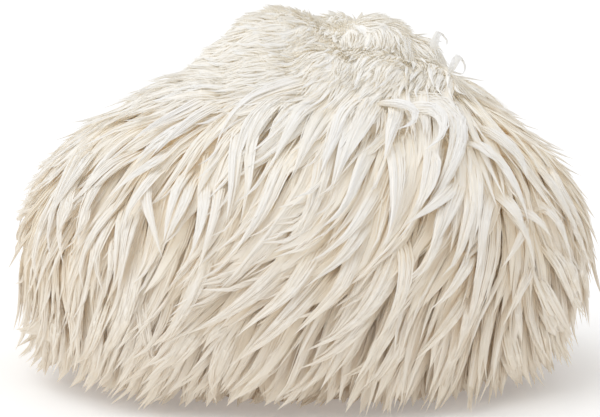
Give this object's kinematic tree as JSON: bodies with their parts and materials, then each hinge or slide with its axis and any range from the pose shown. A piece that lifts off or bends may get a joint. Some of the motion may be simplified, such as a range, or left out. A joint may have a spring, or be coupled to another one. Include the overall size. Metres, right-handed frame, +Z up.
{
  "type": "lions mane mushroom",
  "caption": "Whole lion's mane mushroom: a broad lobed dome covered in long hanging spines, cut off flat underneath.",
  "frame": {"origin": "middle of the flat cut underneath, which the mushroom rests on", "axes": "+Z up; +X to the right of the pictured side, along the width; -Y towards the pictured front"},
  "size_m": [0.2028, 0.1683, 0.1246],
  "materials": {
    "flesh": null
  },
  "bodies": {
    "root": {"fruiting_body": "flesh"}
  },
  "joints": []
}
